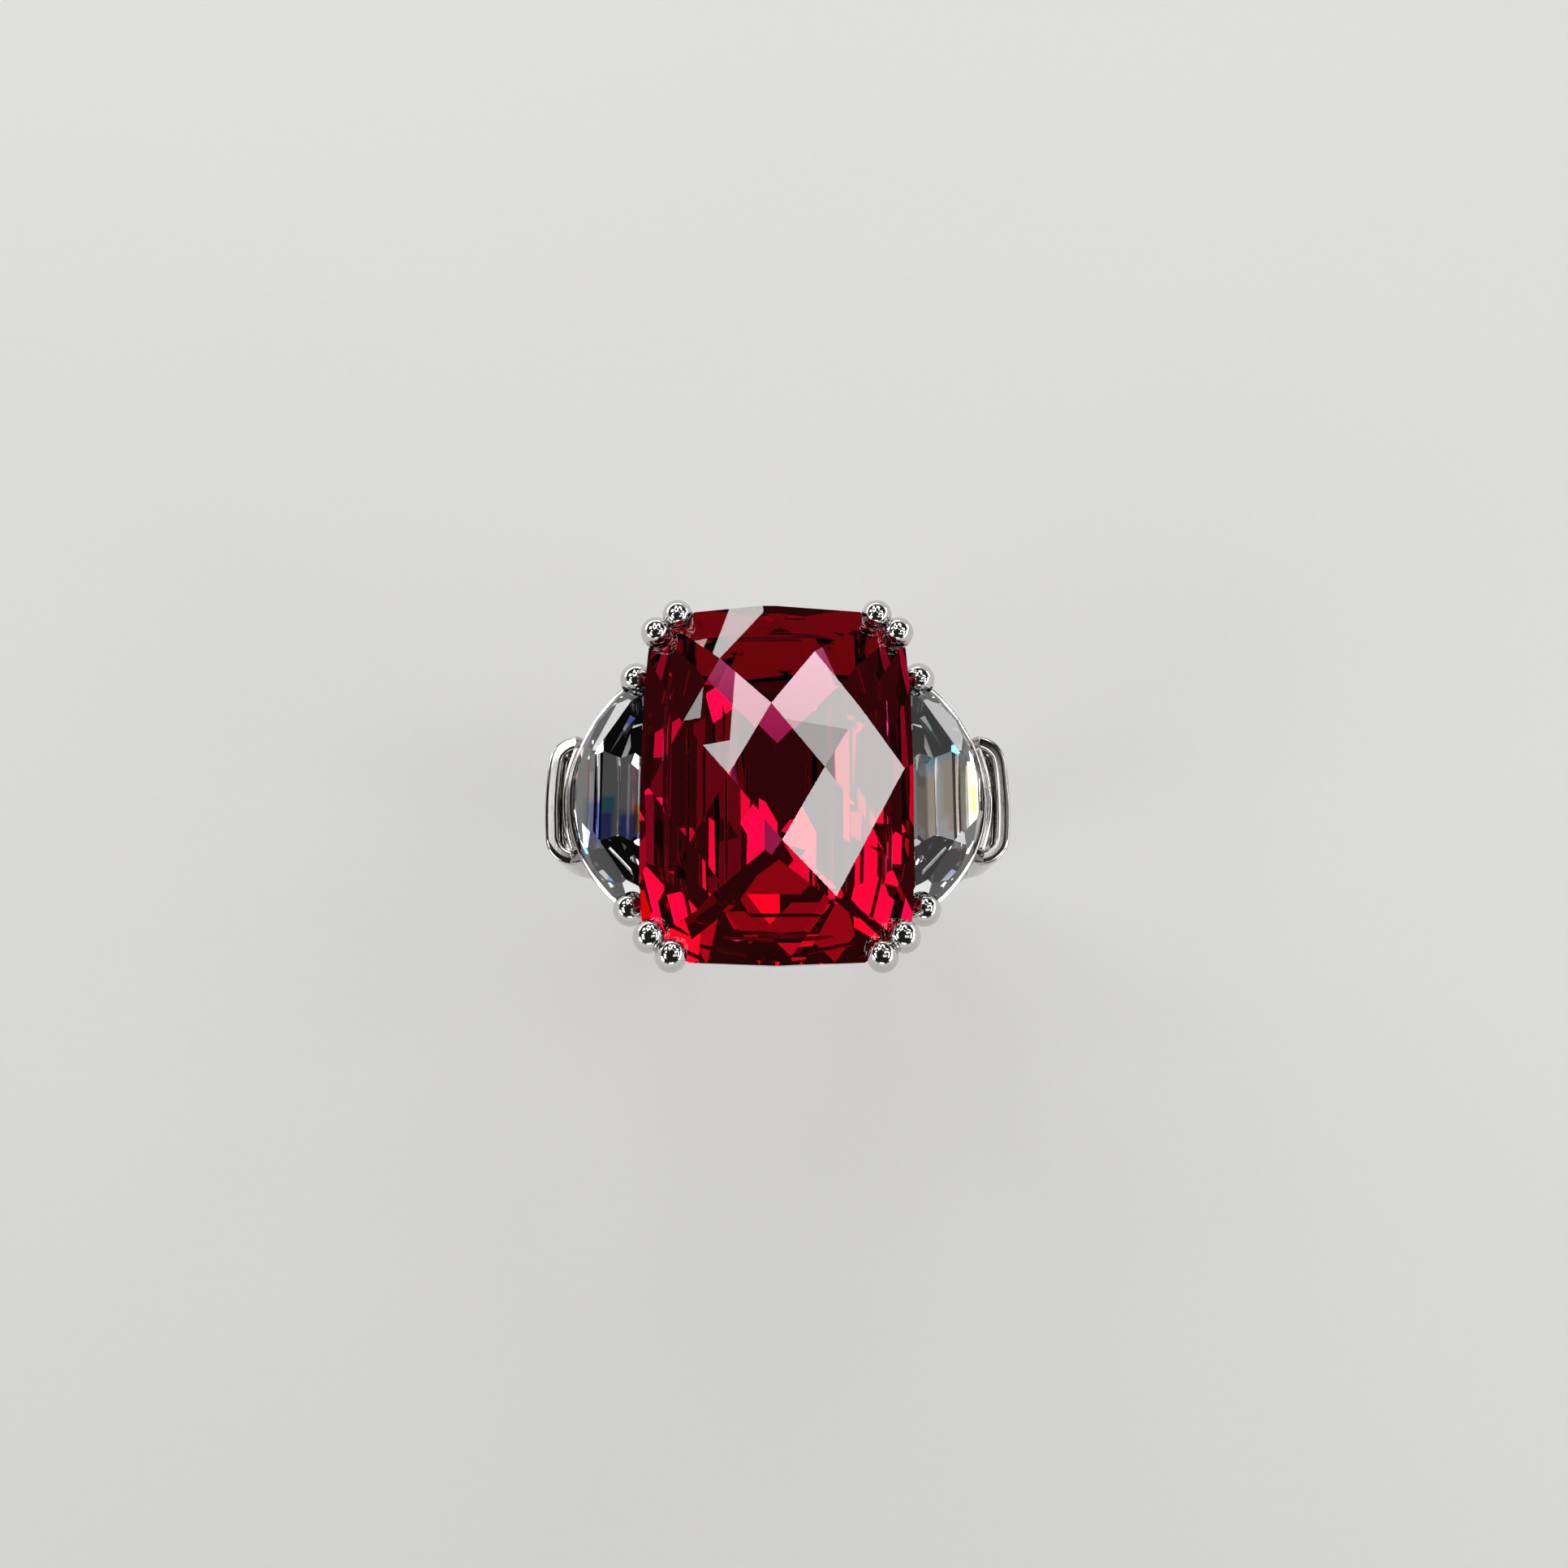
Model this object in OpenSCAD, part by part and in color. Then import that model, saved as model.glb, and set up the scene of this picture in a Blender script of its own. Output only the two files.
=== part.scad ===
// Three-stone cocktail ring: a long red checkerboard-cut stone between two clear
// half-moon stones, in a polished white-metal mount built up from soldered pieces.
// Origin: centre of the finger hole. X runs from shoulder to shoulder, Y along the
// finger, Z up through the centre stone. Millimetres.

/* [Finger band] */
// Radius of the finger hole
bore_r = 8.65; // [8.5:0.05:8.75]
// Thickness of the band at the bottom of the finger
band_t = 1.65; // [1.5:0.05:1.8]
// Width of the band at the bottom of the finger
band_w_bottom = 3.4; // [3:0.1:4]
// Width of the band where it meets the basket
band_w_top = 5.2; // [4.8:0.1:5.6]

/* [Centre stone] */
// Width of the centre stone, across the finger
gem_w = 12.0; // [11.9:0.05:12.1]
// Length of the centre stone, along the finger
gem_l = 16.2; // [16:0.05:16.3]
// Height of the crown above the girdle
crown_h = 2.1; // [2:0.05:2.2]
// Angle that the checkerboard is turned, against the girdle's outline
crown_turn = 4.5; // [0:0.5:6]
// Least thickness of the girdle
girdle_t = 0.3; // [0.25:0.05:0.35]
// Depth from the girdle's top edge to the keel
keel_depth = 4.95; // [4.9:0.05:5]
// Height of the girdle's top edge above the finger's centre
gem_z = 14.6; // [14.6:0.1:15]

/* [Centre basket] */
// Radius of a claw's wire
claw_r = 0.5; // [0.45:0.01:0.52]
// Radius of the bead at a claw's tip
bead_r = 0.64; // [0.58:0.01:0.66]
// Thickness of the gallery rails
rail_t = 0.8; // [0.7:0.05:0.9]

/* [Side stones] */
// Radius of a half-moon's curved edge
moon_r = 6.35; // [6.3:0.05:6.4]
// Reach of a half-moon from its straight edge to the top of its curve
moon_reach = 4.45; // [4.4:0.05:4.5]
// Half the length of a half-moon, between its cut tips
moon_tip_y = 5.6; // [5.5:0.05:5.7]
// Outward tilt of the side stones
moon_tilt = 12; // [10:1:14]
// Radius of the bead at a side claw's tip
side_bead_r = 0.74; // [0.68:0.01:0.78]

/* [Shoulders] */
// Distance from the finger's centre to a shoulder's outer face
shoulder_x = 10.95; // [10.9:0.05:11.1]
// Height of the shoulder's top edge
shoulder_z = 10.95; // [10.8:0.05:11.1]
// Length of a shoulder along the finger
shoulder_l = 6.2; // [6:0.1:6.4]
// Width of the raised rim round the shoulder's tray
rim_w = 0.65; // [0.55:0.05:0.7]
// Depth of the shoulder's tray
tray_depth = 0.75; // [0.5:0.05:0.9]

/* [Hidden] */

$fn = 64;
big = 30;             // half size of the blocks that cut facets
metal = "Gainsboro";
red = "Crimson";
clear = "AliceBlue";
signs = [-1, 1];

// Centre stone, in its own frame: z = 0 is the girdle's top edge. One quarter of each
// list is written, and the others are its mirror images.
half_w = gem_w / 2;
half_l = gem_l / 2;
table_x = 2.05;       // where the table facet's corners lie
table_y = 3.0;
mid_side = [3.9, 2.65];   // vertices of the second ring of the checkerboard, in plan
mid_end = [2.1, 5.45];
mid_side_h = 1.35;
rim_side_x = 5.6;     // outermost vertices on the two axes
rim_end_y = 7.75;
across = [table_y, table_x] / norm([table_y, table_x]);
slope_diagonal = (crown_h - mid_side_h) / ((mid_side - [table_x, 0]) * across);
mid_end_h = crown_h - slope_diagonal * ((mid_end - [table_x, 0]) * across);
rim_side_h = crown_h - (rim_side_x - table_x) * (crown_h - mid_side_h) / (mid_side[0] - table_x);
rim_end_h = crown_h - (rim_end_y - table_y) * (crown_h - mid_end_h) / (mid_end[1] - table_y);
v_table_x = [table_x, 0, crown_h];
v_table_y = [0, table_y, crown_h];
v_side = [mid_side[0], mid_side[1], mid_side_h];
v_end = [mid_end[0], mid_end[1], mid_end_h];
crown_quarter = [
    [v_table_x, v_table_y, v_side],
    [v_table_x, v_side, flip(v_side, 1, -1)],
    [v_table_y, v_end, flip(v_end, -1, 1)],
    [[rim_side_x, 0, rim_side_h], v_side, [half_w, 5.0, 0]],
    [[0, rim_end_y, rim_end_h], v_end, [3.3, half_l, 0]],
    [v_side, v_end, [5.3, 7.2, -0.05]]];
// Girdle outline from the side's middle round one corner to the end's middle
outline_quarter = [
    [half_w, 0], [half_w - 0.05, 4.2], [half_w - 0.18, 6.2],
    [half_w - 1.12, 7.24], [3.75, half_l - 0.16], [0, half_l]];
break_slope = 50;     // pavilion facets next to the girdle
break_depth = 0.95;
// Pavilion mains: direction in plan, slope, and a point that the facet passes through
main_x = 5.4;
main_slope = 38.2;
pavilion_mains = [
    [0, main_slope, [main_x, 0, -break_depth]],
    [13, 40.5, [5.22, 4.3, -break_depth]],
    [30, 41, [5.15, 5.8, -break_depth]],
    [48, 41.5, [4.45, 6.75, -break_depth]],
    [66, 41, [3.0, 7.25, -break_depth]],
    [80, 39.5, [1.7, 7.4, -break_depth]],
    [90, 37.2, [0, 7.5, -break_depth]]];
// Inner tier, inside each main but the last: how far in it starts, and how much shallower it is
inner_run = [2.6, 2.8, 3.0, 3.0, 2.8, 2.8];
keel_run = main_x - inner_run[0];
keel_rise = keel_depth - break_depth - inner_run[0] * tan(main_slope);
inner_drop = [main_slope - atan2(keel_rise, keel_run), 4, 4.2, 4.5, 4.2, 3.6];
pavilion_inner = [
    for (i = [0 : len(inner_run) - 1])
        let (m = pavilion_mains[i], run = [cos(m[0]), sin(m[0]), tan(m[1])])
        [m[0], m[1] - inner_drop[i], m[2] - inner_run[i] * run]];
pavilion_quarter = concat(pavilion_mains, pavilion_inner);

// Half-moon stone, in its own frame: x = 0 is the straight edge, z = 0 the girdle's middle
moon_at = [5.2, 0, 12.5];
moon_center = moon_reach - moon_r;
moon_girdle = 0.12;   // half the girdle's thickness
moon_table = 1.0;
moon_arc_steps = 9;
moon_arc = asin(moon_tip_y / moon_r);
moon_chamfer = 0.35;
// Facets of a half-moon: direction in plan, slope, and how far in and up from the rim they start
moon_crown = [[0, 25, [0.22, 0.42]], [36, 28, [0.2, 0.42]], [62, 31, [0.2, 0.42]],
              [19, 36, [0.1, 0.3]], [49, 37, [0.1, 0.3]]];
moon_pavilion = [[0, 45, [0.3, -0.4]], [0, 41, [0.85, -1.0]], [46, 46, [0.3, -0.4]],
                 [46, 42, [0.85, -1.0]], [74, 46, [0.3, -0.4]], [74, 43, [0.85, -1.0]]];
// Facets under the straight side: slope, and how far in and how high they start
moon_straight = [[47, 0, -moon_girdle], [41, 0.6, -0.76]];
moon_outline = concat(
    [[0, -moon_tip_y + moon_chamfer], [moon_chamfer, -moon_tip_y]],
    [for (i = [0 : moon_arc_steps])
        let (a = -moon_arc + 2 * moon_arc * i / moon_arc_steps)
        [moon_center + moon_r * cos(a), moon_r * sin(a)]],
    [[moon_chamfer, moon_tip_y], [0, moon_tip_y - moon_chamfer]]);
moon_edges = len(moon_outline);

// Claws of the centre stone: foot on the base gallery and bead over the girdle
side_foot = [4.0, 5.1, 8.8];
side_bead = [5.6, 7.02, gem_z + 0.45];
end_foot = [3.3, 5.8, 8.95];
end_bead = [4.62, 7.86, gem_z + 0.45];
lobe_in = 0.34;       // how far the tip reaches on, over the stone

base_r_in = bore_r + 0.3;
base_r_out = base_r_in + 0.9;
base_half = [4.1, 5.9];
upper_half = [5.0, 7.05];
upper_z = 12.9;
band_sink = 0.22;     // the outside of the band is struck from a lower centre
band_r_out = bore_r + band_t - band_sink;
band_crown_r = 7;
rail_out = moon_r + 0.18;
rail_in = moon_r - 0.5;
rail_h = 0.95;
wire_r_out = 5.2;
wire_y = 4.6;
wire_z = -2.0;
side_foot_at = [5.9, 2.35, 7.7];
side_bead_at = [1.35, moon_tip_y + 0.02, 0.5];
step_t = 0.36;
shoulder_foot_z = -2.2;
shoulder_in = 9.2;
shoulder_corner = 1.15;
bow_r = 19;           // plan radius of the shoulder's outer face

function flip(p, sx, sy) = [p[0] * sx, p[1] * sy, p[2]];
// A crown vertex goes to its quadrant and turns with the checkerboard; one on the girdle doesn't turn
function crown_point(p, sx, sy) =
    let (q = flip(p, sx, sy), c = cos(crown_turn), s = sin(crown_turn))
    q[2] > 0 ? [q[0] * c - q[1] * s, q[0] * s + q[1] * c, q[2]] : q;
function unit(v) = v / norm(v);
// A point moved from edge a-b of a plan outline, level with it, by the facet's run and rise
function edge_facet(a, b, z, slope) =
    let (inward = unit([a[1] - b[1], b[0] - a[0]]))
    [[a[0], a[1], z], [b[0], b[1], z],
     [a[0] + inward[0], a[1] + inward[1], z + tan(slope)]];
// A point inward from the curved rim of a half-moon by at[0], and at the height at[1]
function moon_rim_point(az, at) =
    [moon_center + (moon_r - at[0]) * cos(az), (moon_r - at[0]) * sin(az), at[1]];
// Three points of a facet that faces direction az in plan, falls at slope, and holds p
function sloped_facet(az, slope, p) =
    [p, p + [-sin(az), cos(az), 0], p + [cos(az), sin(az), tan(slope)]];

// Everything on the lower side of the plane through three points, or the upper side
module cut_block(points, keep_below) {
    raw = cross(points[1] - points[0], points[2] - points[0]);
    n = unit(raw * ((raw[2] > 0) == keep_below ? 1 : -1));
    u = unit(points[1] - points[0]);
    v = cross(n, u);
    p = points[0];
    multmatrix([
        [u[0], v[0], n[0], p[0]], [u[1], v[1], n[1], p[1]],
        [u[2], v[2], n[2], p[2]], [0, 0, 0, 1]])
        translate([-big, -big, -2 * big]) cube(2 * big);
}

// Rod between two points, which may taper
module rod(a, b, r1, r2) {
    d = b - a;
    translate(a)
        rotate([0, acos(d[2] / norm(d)), atan2(d[1], d[0])])
            cylinder(h = norm(d), r1 = r1, r2 = r2, $fn = 32);
}

module rounded_plan(half, r) {
    hull_w = half[0] - r;
    hull_l = half[1] - r;
    square([2 * half[0], 2 * hull_l], center = true);
    square([2 * hull_w, 2 * half[1]], center = true);
    for (sx = signs, sy = signs)
        translate([sx * hull_w, sy * hull_l]) circle(r);
}

module on_side(side) {
    mirror([side < 0 ? 1 : 0, 0, 0]) children();
}

// ---- centre stone ----
module gem_outline() {
    n = len(outline_quarter);
    right_back = outline_quarter;
    left_back = [for (i = [n - 2 : -1 : 0]) [-outline_quarter[i][0], outline_quarter[i][1]]];
    upper = concat(right_back, left_back);
    lower = [for (i = [len(upper) - 2 : -1 : 1]) [upper[i][0], -upper[i][1]]];
    polygon(concat(upper, lower));
}

module center_stone() {
    color(red) translate([0, 0, gem_z]) intersection() {
        translate([0, 0, -keel_depth - 1]) linear_extrude(keel_depth + crown_h + 1) gem_outline();
        intersection_for (f = crown_quarter, sx = signs, sy = signs)
            cut_block([for (p = f) crown_point(p, sx, sy)], true);
        intersection_for (i = [0 : len(outline_quarter) - 2], sx = signs, sy = signs)
            cut_block([for (p = edge_facet(outline_quarter[i], outline_quarter[i + 1],
                       -girdle_t, -break_slope)) flip(p, sx, sy)], false);
        intersection_for (m = pavilion_quarter, sx = signs, sy = signs)
            cut_block([for (p = sloped_facet(m[0], m[1], m[2])) flip(p, sx, sy)], false);
    }
}

// ---- centre basket ----
// One claw of the back right corner: wire, bead and the lobe that reaches over the stone
module claw_form(foot, bead) {
    lean = unit([-bead[0], -bead[1], 0]);
    rod(foot, bead, claw_r, claw_r + 0.04);
    translate(bead) sphere(bead_r, $fn = 48);
    translate(bead + lobe_in * lean + [0, 0, 0.1]) sphere(bead_r - 0.1, $fn = 48);
}

module claw_at(sx, sy, foot, bead) {
    color(metal) difference() {
        mirror([sx < 0 ? 1 : 0, 0, 0]) mirror([0, sy < 0 ? 1 : 0, 0]) claw_form(foot, bead);
        center_stone();
    }
}

module all_claws(grow = 0) {
    for (sx = signs, sy = signs)
        for (c = [[side_foot, side_bead], [end_foot, end_bead]])
            rod(flip(c[0], sx, sy), flip(c[1], sx, sy), claw_r + grow, claw_r + 0.04 + grow);
}

// Curved frame that the claws stand on, bent to the finger
module base_gallery() {
    color(metal) difference() {
        intersection() {
            linear_extrude(12) rounded_plan(base_half, 1.7);
            rotate([90, 0, 0]) cylinder(h = 14, r = base_r_out, center = true, $fn = 128);
        }
        linear_extrude(12) rounded_plan(base_half - [rail_t + 0.1, rail_t + 0.1], 0.9);
        rotate([90, 0, 0]) cylinder(h = 16, r = base_r_in, center = true, $fn = 128);
        all_claws();
    }
}

// Rail under the girdle that carries the stone
module upper_gallery() {
    color(metal) difference() {
        translate([0, 0, upper_z - rail_t]) linear_extrude(rail_t) difference() {
            rounded_plan(upper_half, 2.2);
            rounded_plan(upper_half - [rail_t, rail_t], 1.4);
        }
        center_stone();
        all_claws();
    }
}

// ---- side stones ----
module place_moon(side) {
    on_side(side) translate(moon_at) rotate([0, moon_tilt, 0]) children();
}

module moon_form() {
    intersection() {
        translate([0, 0, -4]) linear_extrude(4 + moon_table) polygon(moon_outline);
        intersection_for (i = [0 : moon_edges - 1])
            cut_block(edge_facet(moon_outline[i], moon_outline[(i + 1) % moon_edges],
                      moon_girdle, 50), true);
        intersection_for (i = [0 : moon_edges - 2])
            cut_block(edge_facet(moon_outline[i], moon_outline[i + 1], -moon_girdle, -55), false);
        intersection_for (f = moon_straight)
            cut_block([[f[1], 0, f[2]], [f[1], 1, f[2]], [f[1] + 1, 0, f[2] - tan(f[0])]], false);
        intersection_for (m = moon_crown, sy = signs)
            cut_block(sloped_facet(m[0] * sy, -m[1], moon_rim_point(m[0] * sy, m[2])), true);
        intersection_for (m = moon_pavilion, sy = signs)
            cut_block(sloped_facet(m[0] * sy, m[1], moon_rim_point(m[0] * sy, m[2])), false);
    }
}

module side_stone(side) {
    color(clear) place_moon(side) moon_form();
}

module moon_plan(r, y) {
    intersection() {
        translate([moon_center, 0]) circle(r, $fn = 128);
        translate([-1.5, -y]) square([moon_reach + 4, 2 * y]);
    }
}

// What lies on the outer side of the centre's upper gallery
module outside_gallery(side) {
    on_side(side) translate([upper_half[0], -big, 0]) cube([big, 2 * big, big]);
}

module side_claw_rods(side) {
    for (sy = signs)
        on_side(side) rod(flip(side_foot_at, 1, sy), moon_point(flip(side_bead_at, 1, sy)),
                          claw_r, claw_r + 0.08);
}

// A half-moon's own point in the ring's frame
function moon_point(p) = moon_at + [
    p[0] * cos(moon_tilt) + p[2] * sin(moon_tilt), p[1],
    -p[0] * sin(moon_tilt) + p[2] * cos(moon_tilt)];

module side_rail(side) {
    color(metal) difference() {
        intersection() {
            place_moon(side) translate([0, 0, 0.05 - rail_h]) linear_extrude(rail_h) difference() {
                moon_plan(rail_out, moon_tip_y + 0.1);
                moon_plan(rail_in, moon_tip_y - 0.62);
            }
            outside_gallery(side);
        }
        place_moon(side) moon_form();
        side_claw_rods(side);
    }
}

module side_wire(side) {
    color(metal) difference() {
        intersection() {
            place_moon(side) translate([0, 0, wire_z - 0.6]) linear_extrude(0.6) difference() {
                moon_plan(wire_r_out, wire_y);
                moon_plan(wire_r_out - 0.6, wire_y - 0.6);
            }
            outside_gallery(side);
        }
        place_moon(side) moon_form();
        side_claw_rods(side);
        all_claws();
    }
}

module side_claw(side, sy) {
    bead = flip(side_bead_at, 1, sy);
    color(metal) difference() {
        on_side(side) {
            rod(flip(side_foot_at, 1, sy), moon_point(bead), claw_r, claw_r + 0.08);
            translate(moon_point(bead)) sphere(side_bead_r, $fn = 48);
            translate(moon_point(bead + [-0.1, -0.42 * sy, 0.08])) sphere(side_bead_r - 0.12, $fn = 48);
        }
        place_moon(side) moon_form();
        band_body();
    }
}

// ---- shoulders and band ----
function shoulder_face(z) =
    let (t = min(1, max(0, (z - shoulder_foot_z) / (8 - shoulder_foot_z))))
    band_r_out - 0.1 + (shoulder_x - band_r_out + 0.1) * t * (2 - t);

// Plan of the shoulders' outer face, drawn in by inset
module bowed_plan(inset) {
    intersection() {
        rounded_plan([shoulder_x - inset, shoulder_l / 2 - inset], shoulder_corner - inset);
        translate([shoulder_x - bow_r, 0]) circle(bow_r - inset, $fn = 128);
    }
}

module shoulder_block() {
    steps = 12;
    outer = [for (i = [0 : steps])
        let (z = shoulder_foot_z + (shoulder_z - shoulder_foot_z) * i / steps)
        [shoulder_face(z), z]];
    inner = [[shoulder_in, shoulder_z], [shoulder_in + 0.1, 8.2], [shoulder_in + 0.45, 5],
             [shoulder_in + 0.35, 2], [8.6, shoulder_foot_z]];
    intersection() {
        rotate([90, 0, 0]) linear_extrude(shoulder_l, center = true) polygon(concat(outer, inner));
        rotate([90, 0, 90]) linear_extrude(15)
            polygon([[-2.1, shoulder_foot_z - 1], [2.1, shoulder_foot_z - 1], [shoulder_l / 2, 7],
                     [shoulder_l / 2, 15], [-shoulder_l / 2, 15], [-shoulder_l / 2, 7]]);
        translate([0, 0, -5]) linear_extrude(20) bowed_plan(0);
    }
}

module shoulder(side) {
    color(metal) on_side(side) difference() {
        shoulder_block();
        translate([0, 0, shoulder_z - tray_depth]) linear_extrude(2) bowed_plan(rim_w);
        translate(moon_at) rotate([0, moon_tilt, 0]) translate([0, 0, -3]) linear_extrude(5)
            moon_plan(rail_out + 0.02, big);
        band_body();
    }
}

// Raised bar between the tray and the side stone's rail
module shoulder_step(side) {
    color(metal) on_side(side) difference() {
        translate([0, 0, shoulder_z - tray_depth]) linear_extrude(tray_depth + 0.2) intersection() {
            translate([moon_at[0] + moon_center * cos(moon_tilt), 0]) circle(rail_out + step_t, $fn = 128);
            translate([shoulder_in - 1, 0]) square([4, shoulder_l - 2 * rim_w - 0.02], center = true);
        }
        translate(moon_at) rotate([0, moon_tilt, 0]) translate([0, 0, -3]) linear_extrude(5)
            moon_plan(rail_out + 0.02, big);
    }
}

module band_body() {
    translate([0, 0, -band_sink]) rotate([90, 0, 0]) rotate_extrude($fn = 128) intersection() {
        translate([band_r_out - band_crown_r, 0]) circle(band_crown_r, $fn = 128);
        translate([0, -5]) square([band_r_out + 1, 10]);
    }
}

module shank() {
    color(metal) difference() {
        intersection() {
            band_body();
            rotate([90, 0, 90]) linear_extrude(2 * big, center = true)
                polygon([[-band_w_bottom / 2, -bore_r - band_t - 0.5], [band_w_bottom / 2, -bore_r - band_t - 0.5],
                         [band_w_top / 2, bore_r + 2], [-band_w_top / 2, bore_r + 2]]);
        }
        rotate([90, 0, 0]) cylinder(h = 20, r = bore_r, center = true, $fn = 128);
        translate([-base_half[0], -big, 0]) cube([2 * base_half[0], 2 * big, big]);
        for (side = signs, sy = signs)
            on_side(side) rod(flip(side_foot_at, 1, sy), moon_point(flip(side_bead_at, 1, sy)),
                              claw_r, claw_r + 0.08);
    }
}

shank();
base_gallery();
upper_gallery();
center_stone();
claw_at(-1, 1, side_foot, side_bead);  // claw_back_left_side
claw_at(-1, 1, end_foot, end_bead);  // claw_back_left_end
claw_at(1, 1, side_foot, side_bead);  // claw_back_right_side
claw_at(1, 1, end_foot, end_bead);  // claw_back_right_end
claw_at(-1, -1, side_foot, side_bead);  // claw_front_left_side
claw_at(-1, -1, end_foot, end_bead);  // claw_front_left_end
claw_at(1, -1, side_foot, side_bead);  // claw_front_right_side
claw_at(1, -1, end_foot, end_bead);  // claw_front_right_end
side_stone(-1);  // side_stone_left
side_stone(1);  // side_stone_right
side_rail(-1);  // side_rail_left
side_rail(1);  // side_rail_right
side_wire(-1);  // side_wire_left
side_wire(1);  // side_wire_right
side_claw(-1, 1);  // side_claw_back_left
side_claw(-1, -1);  // side_claw_front_left
side_claw(1, 1);  // side_claw_back_right
side_claw(1, -1);  // side_claw_front_right
shoulder(-1);  // shoulder_left
shoulder(1);  // shoulder_right
shoulder_step(-1);  // shoulder_step_left
shoulder_step(1);  // shoulder_step_right
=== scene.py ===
import math

import bpy
import numpy as np
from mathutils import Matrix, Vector


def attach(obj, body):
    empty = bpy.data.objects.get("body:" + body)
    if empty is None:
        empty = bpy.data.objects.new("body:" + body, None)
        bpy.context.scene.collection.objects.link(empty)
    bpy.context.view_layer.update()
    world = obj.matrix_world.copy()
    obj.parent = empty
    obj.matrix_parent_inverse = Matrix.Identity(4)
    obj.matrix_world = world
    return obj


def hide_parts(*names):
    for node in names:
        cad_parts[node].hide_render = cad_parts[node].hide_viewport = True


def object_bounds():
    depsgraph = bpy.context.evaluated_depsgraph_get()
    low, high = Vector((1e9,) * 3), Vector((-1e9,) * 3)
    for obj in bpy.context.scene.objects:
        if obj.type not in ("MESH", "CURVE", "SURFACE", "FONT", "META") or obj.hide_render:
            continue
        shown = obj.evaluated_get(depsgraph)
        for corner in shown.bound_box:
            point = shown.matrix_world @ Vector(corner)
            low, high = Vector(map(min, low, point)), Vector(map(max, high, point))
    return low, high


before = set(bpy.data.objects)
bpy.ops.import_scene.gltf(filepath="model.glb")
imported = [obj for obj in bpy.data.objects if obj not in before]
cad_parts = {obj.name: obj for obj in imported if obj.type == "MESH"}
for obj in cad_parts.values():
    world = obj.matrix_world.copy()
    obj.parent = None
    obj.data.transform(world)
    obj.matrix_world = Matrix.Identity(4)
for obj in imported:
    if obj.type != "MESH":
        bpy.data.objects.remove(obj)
cad_box = [list(corner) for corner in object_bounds()]
MM = 0.001


# ---- Finger band -----------------------------------------------------------------
# The band is cast in white gold to a court section, wider at the top than at the palm,
# and soldered to the basket. It is rhodium plated and polished to a mirror.

def linear(hex_colour):
    """Scene-linear colour of an sRGB hex value: each channel goes back through the sRGB curve."""
    parts = [int(hex_colour[i:i + 2], 16) / 255 for i in (0, 2, 4)]
    return [c / 12.92 if c <= 0.04045 else ((c + 0.055) / 1.055) ** 2.4 for c in parts] + [1.0]


def add_node(tree, kind, settings=None, inputs=None):
    """Adds a node of that kind, sets its own settings, then each input to a value or a link."""
    made = tree.nodes.new(kind)
    for name, value in (settings or {}).items():
        setattr(made, name, value)
    for name, value in (inputs or {}).items():
        if isinstance(value, bpy.types.NodeSocket):
            tree.links.new(value, made.inputs[name])
        else:
            made.inputs[name].default_value = value
    return made


def rhodium_plate(name, colour, rough_low, rough_high, hairline_mm, relief_mm):
    """Rhodium over white gold, finished on a felt wheel. The eye sees a nearly neutral mirror, a little
    greyer and softer in 3 mm patches where fingers have dulled it, with faint hairlines across the light.
    Real ones are about 0.01 mm apart: they are drawn hairline_mm apart, so that they show."""
    material = bpy.data.materials.new(name)
    material.use_nodes = True
    tree = material.node_tree
    shader = tree.nodes["Principled BSDF"]
    place = add_node(tree, "ShaderNodeTexCoord").outputs["Object"]
    handled = add_node(tree, "ShaderNodeTexNoise", inputs={
        "Vector": place, "Scale": 1 / (3.0 * MM), "Detail": 4.0, "Roughness": 0.6})
    along = add_node(tree, "ShaderNodeMapping", inputs={
        "Vector": place, "Rotation": (0.3, 0.5, 0.9), "Scale": (1.0, 0.08, 1.0)})
    hairlines = add_node(tree, "ShaderNodeTexNoise", inputs={
        "Vector": along.outputs["Vector"], "Scale": 1 / (hairline_mm * MM),
        "Detail": 3.0, "Roughness": 0.7})
    worn = add_node(tree, "ShaderNodeMapRange", inputs={
        "Value": handled.outputs["Fac"], "From Min": 0.35, "From Max": 0.7, "To Min": 0.0, "To Max": 0.7})
    scuffed = add_node(tree, "ShaderNodeMapRange", inputs={
        "Value": hairlines.outputs["Fac"], "From Min": 0.6, "From Max": 0.8, "To Min": 0.0, "To Max": 0.3})
    both = add_node(tree, "ShaderNodeMath", {"operation": "ADD", "use_clamp": True})
    tree.links.new(worn.outputs["Result"], both.inputs[0])
    tree.links.new(scuffed.outputs["Result"], both.inputs[1])
    rough = add_node(tree, "ShaderNodeMapRange", inputs={
        "Value": both.outputs["Value"], "To Min": rough_low, "To Max": rough_high})
    tint = add_node(tree, "ShaderNodeMix", {"data_type": "RGBA"})
    tree.links.new(worn.outputs["Result"], tint.inputs["Factor"])
    tint.inputs["A"].default_value = linear(colour)
    tint.inputs["B"].default_value = [c * 0.93 for c in linear(colour)[:3]] + [1.0]
    bump = add_node(tree, "ShaderNodeBump", inputs={
        "Height": hairlines.outputs["Fac"], "Strength": 0.5, "Distance": relief_mm * MM})
    shader.inputs["Metallic"].default_value = 1.0
    tree.links.new(tint.outputs["Result"], shader.inputs["Base Color"])
    tree.links.new(rough.outputs["Result"], shader.inputs["Roughness"])
    tree.links.new(bump.outputs["Normal"], shader.inputs["Normal"])
    return material


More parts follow.
